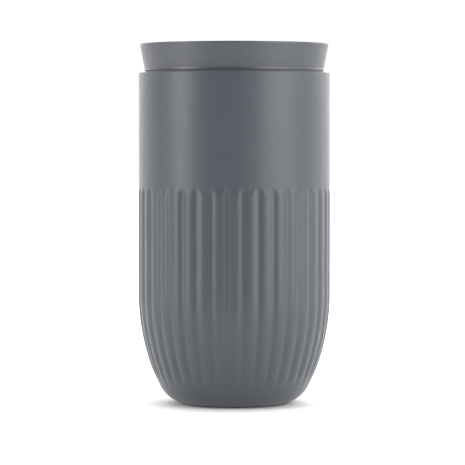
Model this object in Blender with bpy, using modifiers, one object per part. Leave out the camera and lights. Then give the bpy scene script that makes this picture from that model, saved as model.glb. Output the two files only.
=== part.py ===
"""Insulated travel cup: ribbed double-wall body, screw-in lid, click valve.

Dimensions are in millimetres and the mesh helpers turn them into metres.  The
origin is the centre of the base and +Z is up.  Heights of the cup's own pieces
count from the base, and heights of the lid's pieces count from the cup's rim.
"""

import math

import bmesh
import bpy

MM = 0.001

# Clearances
TOUCH_GAP = 0.3  # between pieces that rest on or fit in each other
RUN_GAP = 0.4  # between pieces that turn or slide past each other

# Cup body
BODY_R = 40.5
RIM_Z = 140.0
RIM_EDGE = 0.4
RIM_WIDTH = 4.0
SWEEP_Z = 46.4
SWEEP_R = 89.9
CORNER_R = 13.1
SHELL_WALL = 0.6
LINER_WALL = 0.5
LINER_CORNER_R = 14.0
LINER_FLOOR_Z = 9.0

# Ribs on the lower wall
RIB_COUNT = 39
RIB_CREST = 0.3
RIB_GROOVE = 0.3
RIB_ROUND = 1.4  # above 1 a rib is wider than its groove
RIB_TURN = 0.4  # degrees from the front to the nearest crest
RIB_BAND = 47.0  # smooth band between the rim and the ribs
RIB_FADE_TOP = 3.5
RIB_FADE_LOW_Z = 7.0
RIB_FADE_LOW = 8.0

# Base
FOOT_REACH = 3.4
FOOT_BEVEL = 0.6
BASE_PLATE = 0.8
BASE_LAND = 1.5
PLUG_R = 1.2
PLUG_LENGTH = 1.4
GETTER_R = 5.0
GETTER_HEIGHT = 1.5

# Screw thread between the cup's mouth and the lid's skirt
THREAD_STARTS = 3
THREAD_LEAD = 12.0
THREAD_SPAN = 100.0
THREAD_DEPTH = 1.3
THREAD_ROOM = 0.5  # crest to root, and flank to flank less the running gap
THREAD_WIDTH = 1.6
THREAD_CREST_WIDTH = 0.9
THREAD_Z = -9.0
THREAD_BITE = 0.3  # how far a ridge reaches into its wall

# Lid body
LIP_TOP = 12.3
LIP_FLARE = 2.0
LIP_WALL = 1.6
NECK_OVER = 1.55
NECK_TOP = 1.8
FUNNEL_LOW = 4.6  # where the inside of the lip begins
SHOULDER_Z = 0.9
SKIRT_BOTTOM = -20.0
SKIRT_WALL = 1.2
LEDGE_Z = -3.3
LEDGE_WIDTH = 1.5
VALVE_LIP = 4.5
VALVE_LIP_HEIGHT = 2.5
GASKET_DEPTH = 3.8
GASKET_LIP = 0.8
GASKET_FLANGE = 0.3

# Button and its stroke
BUTTON_R = 13.7
BUTTON_TOP = 7.3
BUTTON_DISH = 0.6
BUTTON_WALL = 1.3
BUTTON_SKIRT = 12.0
BUTTON_BOSS = 2.2
BUTTON_TRAVEL = 4.0
ROD_R = 3.0

# Lid insert and splash disc
WELL_WALL = 1.4
WELL_FLOOR = -16.2
WELL_FLOOR_WALL = 1.4
ARM_COUNT = 3
ARM_WIDTH = 3.0
ARM_HEIGHT = 4.0
SPLASH_TOP = 6.8
SPLASH_WALL = 1.7
SPLASH_FALL = 0.5
SPLASH_SKIRT = 3.8
DRINK_GAP = 4.2

# Click latch
TOOTH_COUNT = 6
TOOTH_HEIGHT = 2.0
LATCH_FLANGE = 1.0
ROTOR_HEIGHT = 3.0
ROTOR_CROWN = 1.8
PLUNGER_WALL = 1.9
SLEEVE_WALL = 1.4
WASHER_HEIGHT = 0.6
WIRE_R = 0.45
SPRING_TURNS = 4.5

# Valve
VALVE_LAND = 2.3
VALVE_PLATE = 1.8
SEAL_HEIGHT = 1.1
VALVE_RING = 1.5
HUB_R = 6.0
ROD_SEAL_R = 5.7
ROD_SEAL_HEIGHT = 1.3
SCREW_R = 1.2
SCREW_HEAD_R = 3.2
SCREW_HEAD_HEIGHT = 1.5
SCREW_LENGTH = 10.0

# Facets around, and steps along curves
RIBBED_FACETS = 4 * RIB_COUNT
WIDE_FACETS = 48
DISC_FACETS = 36
SMALL_FACETS = 24
LATCH_FACETS = 6 * TOOTH_COUNT
SWEEP_STEPS = 5
CORNER_STEPS = 3
FADE_STEPS = 2
THREAD_STEPS = 14
SPRING_STEPS = 12  # in one turn

# Radii that follow from the ones above
LINER_IN_R = BODY_R - RIM_WIDTH
LINER_OUT_R = LINER_IN_R + LINER_WALL
NECK_R = LINER_IN_R + NECK_OVER
LIP_R = NECK_R + LIP_FLARE
THREAD_CREST_R = LINER_IN_R - THREAD_DEPTH
SKIRT_R = THREAD_CREST_R - THREAD_ROOM
MALE_CREST_R = LINER_IN_R - THREAD_ROOM
SKIRT_IN_R = SKIRT_R - SKIRT_WALL
LEDGE_R = SKIRT_IN_R - LEDGE_WIDTH
VALVE_R = LEDGE_R - VALVE_LIP
SPLASH_R = NECK_R - LIP_WALL - DRINK_GAP
BUTTON_HOLE_R = BUTTON_R + TOUCH_GAP
WELL_OUT_R = BUTTON_HOLE_R + WELL_WALL
ROD_HOLE_R = ROD_R + TOUCH_GAP
PLUNGER_R = ROD_HOLE_R + PLUNGER_WALL
LATCH_HOLE_R = PLUNGER_R + RUN_GAP
ROTOR_BORE_R = ROD_R + RUN_GAP
CROWN_IN_R = LATCH_HOLE_R + TOUCH_GAP
ROTOR_R = CROWN_IN_R + ROTOR_CROWN
SLEEVE_BORE_R = ROTOR_R + RUN_GAP
SPRING_R = (ROD_R + SLEEVE_BORE_R) / 2

# Heights that follow, from the rim
BUTTON_UNDER = BUTTON_TOP - BUTTON_DISH - BUTTON_WALL
SLEEVE_TOP = BUTTON_UNDER - BUTTON_TRAVEL - RUN_GAP
TOOTH_ROOT = SLEEVE_TOP - LATCH_FLANGE
ROTOR_TOP = TOOTH_ROOT - TOOTH_HEIGHT - RUN_GAP
TOOTH_CUT = TOOTH_HEIGHT - TOUCH_GAP
ROTOR_BOTTOM = ROTOR_TOP - ROTOR_HEIGHT
WASHER_TOP = ROTOR_BOTTOM - TOUCH_GAP
SPRING_TOP = WASHER_TOP - WASHER_HEIGHT - TOUCH_GAP
SPRING_BOTTOM = WELL_FLOOR + TOUCH_GAP
WELL_BOTTOM = WELL_FLOOR - WELL_FLOOR_WALL
SEAL_TOP = SKIRT_BOTTOM - TOUCH_GAP
SEAL_BOTTOM = SEAL_TOP - SEAL_HEIGHT
VALVE_TOP = SEAL_BOTTOM - TOUCH_GAP
VALVE_BOTTOM = VALVE_TOP - VALVE_PLATE
HUB_TOP = SEAL_TOP - TOUCH_GAP
SOCKET_FLOOR = VALVE_BOTTOM + VALVE_PLATE / 3
ROD_BOTTOM = SOCKET_FLOOR + TOUCH_GAP
SCREW_HEAD_TOP = VALVE_BOTTOM - TOUCH_GAP


def empty_scene():
    for item in list(bpy.data.objects):
        bpy.data.objects.remove(item, do_unlink=True)


def new_collection(name):
    collection = bpy.data.collections.new(name)
    bpy.context.scene.collection.children.link(collection)
    return collection


def make_material(name, colour, roughness, metallic=0.0):
    material = bpy.data.materials.new(name)
    material.use_nodes = True
    shader = material.node_tree.nodes["Principled BSDF"]
    shader.inputs["Base Color"].default_value = (*colour, 1.0)
    shader.inputs["Roughness"].default_value = roughness
    shader.inputs["Metallic"].default_value = metallic
    return material


empty_scene()
CUP = new_collection("travel_cup")
CUTTERS = new_collection("cutters")

COAT = make_material("satin_coat", (0.16, 0.17, 0.19), 0.45)
STEEL = make_material("brushed_steel", (0.62, 0.61, 0.59), 0.3, 1.0)
LID_PLASTIC = make_material("lid_plastic", (0.17, 0.18, 0.2), 0.45)
BUTTON_PLASTIC = make_material("button_plastic", (0.14, 0.15, 0.17), 0.4)
LATCH_PLASTIC = make_material("latch_plastic", (0.75, 0.75, 0.73), 0.35)
SILICONE = make_material("silicone", (0.05, 0.05, 0.055), 0.6)
GETTER_METAL = make_material("getter_alloy", (0.3, 0.3, 0.3), 0.7, 1.0)


def add_object(name, mesh, material, parent=None):
    piece = bpy.data.objects.new(name, mesh)
    CUP.objects.link(piece)
    mesh.materials.append(material)
    piece.parent = parent
    return piece


def smooth(mesh, angle=35.0):
    mesh.shade_smooth()
    mesh.set_sharp_from_angle(angle=math.radians(angle))


def profile_mesh(name, points, closed):
    mesh = bpy.data.meshes.new(name)
    corners = [(r * MM, 0.0, z * MM) for r, z in points]
    edges = [(i, i + 1) for i in range(len(points) - 1)]
    if closed:
        edges.append((len(points) - 1, 0))
    mesh.from_pydata(corners, edges, [])
    return mesh


def turned(name, points, material, facets, parent=None):
    """Turn a profile of (radius, height) points, listed down its outer side.

    A profile that starts and ends on the axis makes a solid, any other is
    closed and makes a ring.
    """
    on_axis = points[0][0] == 0 and points[-1][0] == 0
    piece = add_object(name, profile_mesh(name, points, not on_axis), material, parent)
    screw = piece.modifiers.new("turn", "SCREW")
    screw.axis = "Z"
    screw.angle = math.tau
    screw.steps = facets
    screw.render_steps = facets
    screw.use_merge_vertices = True
    screw.merge_threshold = 0.00001
    screw.use_smooth_shade = True
    return piece


def ring_points(inner_r, outer_r, bottom, top):
    return [(inner_r, top), (outer_r, top), (outer_r, bottom), (inner_r, bottom)]


def cut(piece, tool, operation="DIFFERENCE"):
    """Cut a piece with a tool, or join the tool to it."""
    for collection in list(tool.users_collection):
        collection.objects.unlink(tool)
    CUTTERS.objects.link(tool)
    tool.hide_render = True
    tool.display_type = "WIRE"
    boolean = piece.modifiers.new("cut", "BOOLEAN")
    boolean.operation = operation
    boolean.solver = "EXACT"
    boolean.object = tool


def reshape(piece, move):
    """Turn a piece's modifiers into its mesh and move each vertex by a rule."""
    evaluated = piece.evaluated_get(bpy.context.evaluated_depsgraph_get())
    mesh = bpy.data.meshes.new_from_object(evaluated)
    for vertex in mesh.vertices:
        x, y, z = vertex.co / MM
        radius, angle, z = move(math.hypot(x, y), math.atan2(y, x), z)
        vertex.co = (radius * math.cos(angle) * MM, radius * math.sin(angle) * MM, z * MM)
    piece.modifiers.clear()
    piece.data = mesh
    smooth(mesh)


def steps_between(start, end, count):
    return [start + (end - start) * i / count for i in range(count + 1)]


def corner_centre(radius, sweep_r, corner_r, floor_z):
    """Centre of the corner arc between the sweep of the wall and the floor."""
    drop = SWEEP_Z - floor_z - corner_r
    reach = sweep_r - corner_r
    return radius - sweep_r + math.sqrt(reach**2 - drop**2), floor_z + corner_r


def lower_curve(radius, sweep_r, corner_r, floor_z, end_r):
    """Wall that sweeps in below SWEEP_Z and rounds towards the floor, down to end_r."""
    corner_x, corner_z = corner_centre(radius, sweep_r, corner_r, floor_z)
    sweep_x = radius - sweep_r
    join = math.atan2(SWEEP_Z - corner_z, corner_x - sweep_x)
    end = math.acos(max(0.0, (end_r - corner_x) / corner_r))
    sweep = [
        (sweep_x + sweep_r * math.cos(a), SWEEP_Z - sweep_r * math.sin(a))
        for a in steps_between(0.0, join, SWEEP_STEPS)
    ]
    corner = [
        (corner_x + corner_r * math.cos(a), corner_z - corner_r * math.sin(a))
        for a in steps_between(join, end, CORNER_STEPS)
    ]
    return sweep + corner[1:]


def ease(value):
    value = min(1.0, max(0.0, value))
    return value * value * (3.0 - 2.0 * value)


# Foot and base opening follow the flat that the corner leaves
FLAT_R = corner_centre(BODY_R, SWEEP_R, CORNER_R, 0.0)[0]
FOOT_R = FLAT_R + FOOT_REACH
FOOT_OPENING_R = FOOT_R + TOUCH_GAP
PLATE_R = FOOT_R + BASE_LAND
HOLLOW_CORNER_R = CORNER_R - SHELL_WALL
HOLLOW_DROP = math.sqrt(HOLLOW_CORNER_R**2 - (PLATE_R - FLAT_R) ** 2)
PLATE_BOTTOM = CORNER_R - HOLLOW_DROP + TOUCH_GAP
FOOT_HEIGHT = PLATE_BOTTOM - TOUCH_GAP


def rib_height(angle, z):
    """Wall height over the smooth band: wide round ribs and narrow grooves."""
    turn = angle / math.tau * RIB_COUNT + RIB_COUNT / 4
    from_crest = abs(turn - round(turn)) * 2.0
    dip = (1.0 - math.cos(math.pi * from_crest**RIB_ROUND)) / 2.0
    rib_top = RIM_Z - RIB_BAND
    fade = ease((rib_top - z) / RIB_FADE_TOP) * ease((z - RIB_FADE_LOW_Z) / RIB_FADE_LOW)
    return fade * (RIB_CREST - (RIB_CREST + RIB_GROOVE) * dip)


def make_outer_shell():
    """Sheet pressed to the rib shape, rolled in over the rim and open at the foot."""
    rib_top = RIM_Z - RIB_BAND
    fade_heights = steps_between(rib_top, rib_top - RIB_FADE_TOP, FADE_STEPS)
    outside = [(BODY_R - RIM_EDGE, RIM_Z), (BODY_R, RIM_Z - RIM_EDGE)]
    outside += [(BODY_R, z) for z in fade_heights]
    outside += lower_curve(BODY_R, SWEEP_R, CORNER_R, 0.0, FOOT_OPENING_R)
    inside_r = BODY_R - SHELL_WALL
    roof = RIM_Z - SHELL_WALL
    mouth_r = LINER_OUT_R + TOUCH_GAP
    inside = [(mouth_r, RIM_Z), (mouth_r, roof), (inside_r, roof)]
    inside += [(inside_r, z) for z in fade_heights]
    inside_sweep_r = SWEEP_R - SHELL_WALL
    inside += lower_curve(inside_r, inside_sweep_r, HOLLOW_CORNER_R, SHELL_WALL, FOOT_OPENING_R)
    points = outside + list(reversed(inside))
    shell = turned("outer_shell", points, COAT, RIBBED_FACETS)
    turn = math.radians(RIB_TURN)
    reshape(shell, lambda r, a, z: (r + rib_height(a, z), a + turn, z))


def thread_ridges(name, inner_r, outer_r, crest_inside, shift):
    """Three helical ridges, one for each start, as a tool for joining."""
    mesh = bpy.data.meshes.new(name)
    ridges = bmesh.new()
    half = THREAD_WIDTH / 2
    crest = THREAD_CREST_WIDTH / 2
    inner_half, outer_half = (crest, half) if crest_inside else (half, crest)
    rise = THREAD_LEAD * THREAD_SPAN / 360.0 / THREAD_STEPS
    for start in range(THREAD_STARTS):
        middle = THREAD_Z + half + shift
        section = [
            (inner_r, middle - inner_half),
            (outer_r, middle - outer_half),
            (outer_r, middle + outer_half),
            (inner_r, middle + inner_half),
        ]
        turn = math.tau * start / THREAD_STARTS
        corners = [
            ridges.verts.new((r * math.cos(turn) * MM, r * math.sin(turn) * MM, z * MM))
            for r, z in section
        ]
        face = ridges.faces.new(corners)
        bmesh.ops.spin(
            ridges,
            geom=[face, *corners, *face.edges],
            cent=(0, 0, 0),
            axis=(0, 0, 1),
            dvec=(0, 0, rise * MM),
            angle=math.radians(THREAD_SPAN),
            steps=THREAD_STEPS,
        )
    bmesh.ops.recalc_face_normals(ridges, faces=ridges.faces)
    ridges.to_mesh(mesh)
    ridges.free()
    return mesh


def make_inner_liner():
    sweep_r = SWEEP_R - RIM_WIDTH
    under = LINER_FLOOR_Z - LINER_WALL
    outer_corner_r = LINER_CORNER_R + LINER_WALL
    outer = lower_curve(LINER_OUT_R, sweep_r + LINER_WALL, outer_corner_r, under, 0.0)
    inner = lower_curve(LINER_IN_R, sweep_r, LINER_CORNER_R, LINER_FLOOR_Z, 0.0)
    wall = [(LINER_OUT_R, RIM_Z)] + outer + [(0, outer[-1][1])]
    hollow = [(LINER_IN_R, RIM_Z)] + inner + [(0, inner[-1][1])]
    points = list(reversed(hollow)) + wall
    liner = turned("inner_liner", points, STEEL, WIDE_FACETS)
    root_r = LINER_IN_R + THREAD_BITE
    mesh = thread_ridges("mouth_thread", THREAD_CREST_R, root_r, True, 0.0)
    ridges = add_object("mouth_thread", mesh, STEEL)
    ridges.location.z = RIM_Z * MM
    cut(liner, ridges, "UNION")


def make_base():
    plate_top = PLATE_BOTTOM + BASE_PLATE
    hole_r = PLUG_R + TOUCH_GAP
    turned("outer_base", ring_points(hole_r, PLATE_R, PLATE_BOTTOM, plate_top), STEEL, DISC_FACETS)
    plug_top = PLATE_BOTTOM + PLUG_LENGTH
    plug = [(0, plug_top), (PLUG_R, plug_top), (PLUG_R, PLATE_BOTTOM), (0, PLATE_BOTTOM)]
    turned("vacuum_plug", plug, STEEL, SMALL_FACETS)
    getter_top = LINER_FLOOR_Z - LINER_WALL - TOUCH_GAP
    low = getter_top - GETTER_HEIGHT
    turned(
        "getter", [(0, getter_top), (GETTER_R, getter_top), (GETTER_R, low), (0, low)],
        GETTER_METAL, SMALL_FACETS,
    )
    foot = [
        (0, FOOT_HEIGHT), (FOOT_R, FOOT_HEIGHT), (FOOT_R, FOOT_BEVEL),
        (FOOT_R - FOOT_BEVEL, 0), (0, 0),
    ]
    turned("foot_pad", foot, SILICONE, WIDE_FACETS)


def make_lid_body(lid):
    gasket_low = SHOULDER_Z - GASKET_DEPTH
    ledge_r = LINER_IN_R - THREAD_ROOM - TOUCH_GAP
    groove_r = LINER_IN_R - TOUCH_GAP - GASKET_LIP - TOUCH_GAP
    edge = LIP_WALL / 3
    lip_in_r = LIP_R - LIP_WALL
    outer = [
        (lip_in_r + edge, LIP_TOP), (LIP_R - edge, LIP_TOP),
        (LIP_R - edge / 4, LIP_TOP - edge / 4), (LIP_R, LIP_TOP - edge),
        (NECK_R, NECK_TOP), (NECK_R, SHOULDER_Z), (groove_r, SHOULDER_Z),
        (groove_r, gasket_low), (ledge_r, gasket_low), (ledge_r, gasket_low - edge),
        (SKIRT_R, gasket_low - edge), (SKIRT_R, SKIRT_BOTTOM),
    ]
    inner = [
        (VALVE_R, SKIRT_BOTTOM), (VALVE_R, SKIRT_BOTTOM + VALVE_LIP_HEIGHT),
        (LEDGE_R, SKIRT_BOTTOM + VALVE_LIP_HEIGHT), (LEDGE_R, LEDGE_Z),
        (SKIRT_IN_R, LEDGE_Z), (SKIRT_IN_R, SHOULDER_Z),
        (NECK_R - LIP_WALL, FUNNEL_LOW), (lip_in_r, LIP_TOP - edge),
    ]
    body = turned("lid_body", outer + inner, LID_PLASTIC, WIDE_FACETS, lid)
    pitch = THREAD_LEAD / THREAD_STARTS
    shift = -min(pitch / 2, THREAD_WIDTH + RUN_GAP)
    root_r = SKIRT_R - THREAD_BITE
    mesh = thread_ridges("lid_thread", root_r, MALE_CREST_R, False, shift)
    cut(body, add_object("lid_thread", mesh, LID_PLASTIC, lid), "UNION")


def make_lid_gasket(lid):
    lip_r = LINER_IN_R - TOUCH_GAP
    inner_r = lip_r - GASKET_LIP
    flange_top = SHOULDER_Z - TOUCH_GAP
    flange_low = flange_top - GASKET_FLANGE
    lip_low = SHOULDER_Z - GASKET_DEPTH + TOUCH_GAP
    points = [
        (inner_r, flange_top), (NECK_R - TOUCH_GAP, flange_top),
        (NECK_R - TOUCH_GAP, flange_low), (lip_r, flange_low),
        (lip_r, lip_low), (inner_r, lip_low),
    ]
    turned("lid_gasket", points, SILICONE, WIDE_FACETS, lid)


def make_lid_insert(lid):
    """Housing of the click mechanism, held on the lid's ledge by three arms."""
    top = SPLASH_TOP - SPLASH_WALL - TOUCH_GAP
    seal_wall_in = ROD_SEAL_R + TOUCH_GAP
    seal_wall_out = seal_wall_in + SKIRT_WALL
    seal_low = WELL_BOTTOM - ROD_SEAL_HEIGHT - 2 * TOUCH_GAP
    points = [
        (BUTTON_HOLE_R, top), (WELL_OUT_R, top), (WELL_OUT_R, WELL_BOTTOM),
        (seal_wall_out, WELL_BOTTOM), (seal_wall_out, seal_low), (seal_wall_in, seal_low),
        (seal_wall_in, WELL_BOTTOM), (ROD_HOLE_R, WELL_BOTTOM), (ROD_HOLE_R, WELL_FLOOR),
        (BUTTON_HOLE_R, WELL_FLOOR),
    ]
    insert = turned("lid_insert", points, LATCH_PLASTIC, DISC_FACETS, lid)
    arm_start = WELL_OUT_R - WELL_WALL / 2
    arm_end = SKIRT_IN_R - TOUCH_GAP
    middle = (arm_start + arm_end) / 2 * MM
    for index in range(ARM_COUNT):
        turn = math.tau * index / ARM_COUNT + math.pi / 2
        bpy.ops.mesh.primitive_cube_add(size=MM)
        arm = bpy.context.object
        arm.name = f"insert_arm_{index}"
        arm.parent = lid
        arm.scale = (arm_end - arm_start, ARM_WIDTH, ARM_HEIGHT)
        arm.rotation_euler.z = turn
        arm.location.x = middle * math.cos(turn)
        arm.location.y = middle * math.sin(turn)
        arm.location.z = (LEDGE_Z + TOUCH_GAP + ARM_HEIGHT / 2) * MM
        cut(insert, arm, "UNION")


def make_splash_disc(lid):
    ring_in = WELL_OUT_R + TOUCH_GAP
    ring_out = ring_in + WELL_WALL
    ring_low = LEDGE_Z + ARM_HEIGHT + 2 * TOUCH_GAP
    edge = SPLASH_WALL / 2
    edge_top = SPLASH_TOP - SPLASH_FALL
    skirt_low = edge_top - SPLASH_SKIRT
    under = SPLASH_TOP - SPLASH_WALL
    points = [
        (BUTTON_HOLE_R, SPLASH_TOP), (SPLASH_R - edge, edge_top),
        (SPLASH_R - edge / 4, edge_top - edge / 4), (SPLASH_R, edge_top - edge),
        (SPLASH_R, skirt_low), (SPLASH_R - WELL_WALL, skirt_low),
        (SPLASH_R - WELL_WALL, edge_top - SPLASH_WALL), (ring_out, under),
        (ring_out, ring_low), (ring_in, ring_low), (ring_in, under), (BUTTON_HOLE_R, under),
    ]
    turned("splash_disc", points, LID_PLASTIC, DISC_FACETS, lid)


def saw(angle):
    """Share of a tooth's height: a long slope up and a short steep one down."""
    place = angle / math.tau * TOOTH_COUNT % 1.0
    rise = 1.0 - TOOTH_COUNT / LATCH_FACETS
    return place / rise if place < rise else (1.0 - place) / (1.0 - rise)


def make_latch(lid, rotor_joint):
    """Guide sleeve with teeth under its flange, and the rotor that meets them."""
    sleeve_r = SLEEVE_BORE_R + SLEEVE_WALL
    points = [
        (LATCH_HOLE_R, SLEEVE_TOP), (sleeve_r, SLEEVE_TOP), (sleeve_r, SPRING_BOTTOM),
        (SLEEVE_BORE_R, SPRING_BOTTOM), (SLEEVE_BORE_R, TOOTH_ROOT),
        (LATCH_HOLE_R, TOOTH_ROOT),
    ]
    sleeve = turned("latch_sleeve", points, LATCH_PLASTIC, LATCH_FACETS, lid)

    def cut_teeth(radius, angle, z):
        in_flange = radius < SLEEVE_BORE_R + RUN_GAP and abs(z - TOOTH_ROOT) < RUN_GAP
        return radius, angle, z - TOOTH_CUT * (1.0 - saw(angle)) * in_flange

    reshape(sleeve, cut_teeth)
    points = [
        (CROWN_IN_R, ROTOR_TOP + TOOTH_HEIGHT), (ROTOR_R, ROTOR_TOP + TOOTH_HEIGHT),
        (ROTOR_R, ROTOR_BOTTOM), (ROTOR_BORE_R, ROTOR_BOTTOM), (ROTOR_BORE_R, ROTOR_TOP),
        (CROWN_IN_R, ROTOR_TOP),
    ]
    rotor = turned("latch_rotor", points, LATCH_PLASTIC, LATCH_FACETS, rotor_joint)

    def raise_teeth(radius, angle, z):
        on_crown = z > ROTOR_TOP + RUN_GAP
        return radius, angle, z - TOOTH_CUT * (1.0 - saw(angle)) * on_crown

    reshape(rotor, raise_teeth)


def make_return_spring(lid):
    curve = bpy.data.curves.new("return_spring", "CURVE")
    curve.dimensions = "3D"
    curve.bevel_depth = WIRE_R * MM
    curve.bevel_resolution = 2
    curve.use_fill_caps = True
    count = int(SPRING_TURNS * SPRING_STEPS)
    low = SPRING_BOTTOM + WIRE_R
    high = SPRING_TOP - WIRE_R
    spline = curve.splines.new("POLY")
    spline.points.add(count)
    for index, point in enumerate(spline.points):
        turn = math.tau * index / SPRING_STEPS
        z = low + (high - low) * index / count
        x = SPRING_R * math.cos(turn)
        y = SPRING_R * math.sin(turn)
        point.co = (x * MM, y * MM, z * MM, 1.0)
    spring = bpy.data.objects.new("return_spring", curve)
    CUP.objects.link(spring)
    curve.materials.append(STEEL)
    spring.parent = lid


def make_button(button):
    boss_low = BUTTON_UNDER - BUTTON_BOSS
    dish = BUTTON_TOP - BUTTON_DISH
    rim = BUTTON_WALL / 2
    points = [
        (0, dish), (BUTTON_R / 2, dish + BUTTON_DISH / 4),
        (BUTTON_R - 2 * rim, BUTTON_TOP - rim / 4), (BUTTON_R - rim, BUTTON_TOP),
        (BUTTON_R - rim / 4, BUTTON_TOP - rim / 4),
        (BUTTON_R, BUTTON_TOP - rim), (BUTTON_R, BUTTON_TOP - BUTTON_SKIRT),
        (BUTTON_R - BUTTON_WALL, BUTTON_TOP - BUTTON_SKIRT),
        (BUTTON_R - BUTTON_WALL, BUTTON_UNDER), (PLUNGER_R, BUTTON_UNDER),
        (PLUNGER_R, boss_low), (ROD_HOLE_R, boss_low), (ROD_HOLE_R, BUTTON_UNDER),
        (0, BUTTON_UNDER),
    ]
    turned("button_cap", points, BUTTON_PLASTIC, DISC_FACETS, button)
    plunger_low = ROTOR_TOP + TOUCH_GAP
    points = ring_points(ROD_HOLE_R, PLUNGER_R, plunger_low, boss_low - TOUCH_GAP)
    turned("latch_plunger", points, LATCH_PLASTIC, SMALL_FACETS, button)
    washer_low = WASHER_TOP - WASHER_HEIGHT
    points = ring_points(ROTOR_BORE_R, ROTOR_R, washer_low, WASHER_TOP)
    turned("spring_seat", points, STEEL, SMALL_FACETS, button)
    rod_top = BUTTON_UNDER - TOUCH_GAP
    bore_r = SCREW_R + TOUCH_GAP
    bore_top = SCREW_HEAD_TOP + SCREW_LENGTH + TOUCH_GAP
    points = [
        (0, rod_top), (ROD_R, rod_top), (ROD_R, ROD_BOTTOM), (bore_r, ROD_BOTTOM),
        (bore_r, bore_top), (0, bore_top),
    ]
    turned("push_rod", points, LATCH_PLASTIC, SMALL_FACETS, button)


def make_valve(lid, button):
    valve_out_r = VALVE_R + VALVE_LAND
    ring_r = VALVE_R - RUN_GAP
    hole_r = SCREW_R + TOUCH_GAP
    points = [
        (ring_r - VALVE_RING, HUB_TOP), (ring_r, HUB_TOP), (ring_r, VALVE_TOP),
        (valve_out_r, VALVE_TOP), (valve_out_r, VALVE_BOTTOM), (hole_r, VALVE_BOTTOM),
        (hole_r, SOCKET_FLOOR), (ROD_HOLE_R, SOCKET_FLOOR), (ROD_HOLE_R, HUB_TOP),
        (HUB_R, HUB_TOP), (HUB_R, VALVE_TOP), (ring_r - VALVE_RING, VALVE_TOP),
    ]
    turned("valve_disc", points, LATCH_PLASTIC, DISC_FACETS, button)
    points = ring_points(ring_r + TOUCH_GAP, valve_out_r, SEAL_BOTTOM, SEAL_TOP)
    turned("valve_seal", points, SILICONE, DISC_FACETS, button)
    seal_top = WELL_BOTTOM - TOUCH_GAP
    points = ring_points(ROD_HOLE_R, ROD_SEAL_R, seal_top - ROD_SEAL_HEIGHT, seal_top)
    turned("rod_seal", points, SILICONE, SMALL_FACETS, lid)
    shank_top = SCREW_HEAD_TOP + SCREW_LENGTH
    points = [
        (0, shank_top), (SCREW_R, shank_top), (SCREW_R, SCREW_HEAD_TOP),
        (SCREW_HEAD_R, SCREW_HEAD_TOP), (SCREW_HEAD_R, SCREW_HEAD_TOP - SCREW_HEAD_HEIGHT),
        (0, SCREW_HEAD_TOP - SCREW_HEAD_HEIGHT),
    ]
    turned("retaining_screw", points, STEEL, SMALL_FACETS, button)


def add_joint(name, z, parent=None):
    joint = bpy.data.objects.new(name, None)
    CUP.objects.link(joint)
    joint.location.z = z * MM
    joint.parent = parent
    return joint


def main():
    lid = add_joint("lid_joint", RIM_Z)
    button = add_joint("button_joint", 0.0, lid)
    rotor = add_joint("rotor_joint", 0.0, button)
    make_outer_shell()
    make_inner_liner()
    make_base()
    make_lid_body(lid)
    make_lid_gasket(lid)
    make_lid_insert(lid)
    make_splash_disc(lid)
    make_latch(lid, rotor)
    make_return_spring(lid)
    make_button(button)
    make_valve(lid, button)


main()
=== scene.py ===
"""Insulated travel cup with a ribbed shell and a screw-in click lid.

The cup stands on its foot pad at the origin, with +Z up and its front towards -Y.
Radii and heights of the pieces are in millimetres, and MM turns them into metres.
The floor, the lights and the camera are set in metres.
"""

import math

import bmesh
import bpy
import numpy as np
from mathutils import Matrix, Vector


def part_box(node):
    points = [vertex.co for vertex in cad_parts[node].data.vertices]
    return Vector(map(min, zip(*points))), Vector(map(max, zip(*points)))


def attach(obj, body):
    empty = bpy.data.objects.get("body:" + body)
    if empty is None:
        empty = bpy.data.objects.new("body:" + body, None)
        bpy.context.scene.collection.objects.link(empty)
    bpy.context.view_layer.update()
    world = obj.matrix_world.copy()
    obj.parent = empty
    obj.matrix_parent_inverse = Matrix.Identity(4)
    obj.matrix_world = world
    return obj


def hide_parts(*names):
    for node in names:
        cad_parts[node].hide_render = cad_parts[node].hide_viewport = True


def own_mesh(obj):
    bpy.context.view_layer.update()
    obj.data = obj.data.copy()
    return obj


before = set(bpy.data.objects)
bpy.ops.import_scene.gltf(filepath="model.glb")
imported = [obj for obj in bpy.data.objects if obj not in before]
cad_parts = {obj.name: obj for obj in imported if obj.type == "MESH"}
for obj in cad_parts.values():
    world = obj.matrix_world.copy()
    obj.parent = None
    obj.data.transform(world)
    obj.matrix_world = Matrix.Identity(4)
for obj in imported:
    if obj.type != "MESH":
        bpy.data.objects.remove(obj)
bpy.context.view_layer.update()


# Foot pad: a thin disc of dark silicone that sits in the opening of the shell's base
# and keeps the cup from sliding.  It is moulded with fine rings and pressed in.

MM = 0.001
TAU = math.tau
CORNER_SHARE = 0.45  # of an edge, the most that one rounded corner takes
CORNER_MARGIN = 0.2  # strip beside a corner, as a share of the corner's reach
SAME_POINT = 0.001
ON_AXIS = 0.0001
WELD_METRES = 0.0000005
NOISE_LOW, NOISE_HIGH = 0.3, 0.7  # most of a noise lies between these


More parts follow.
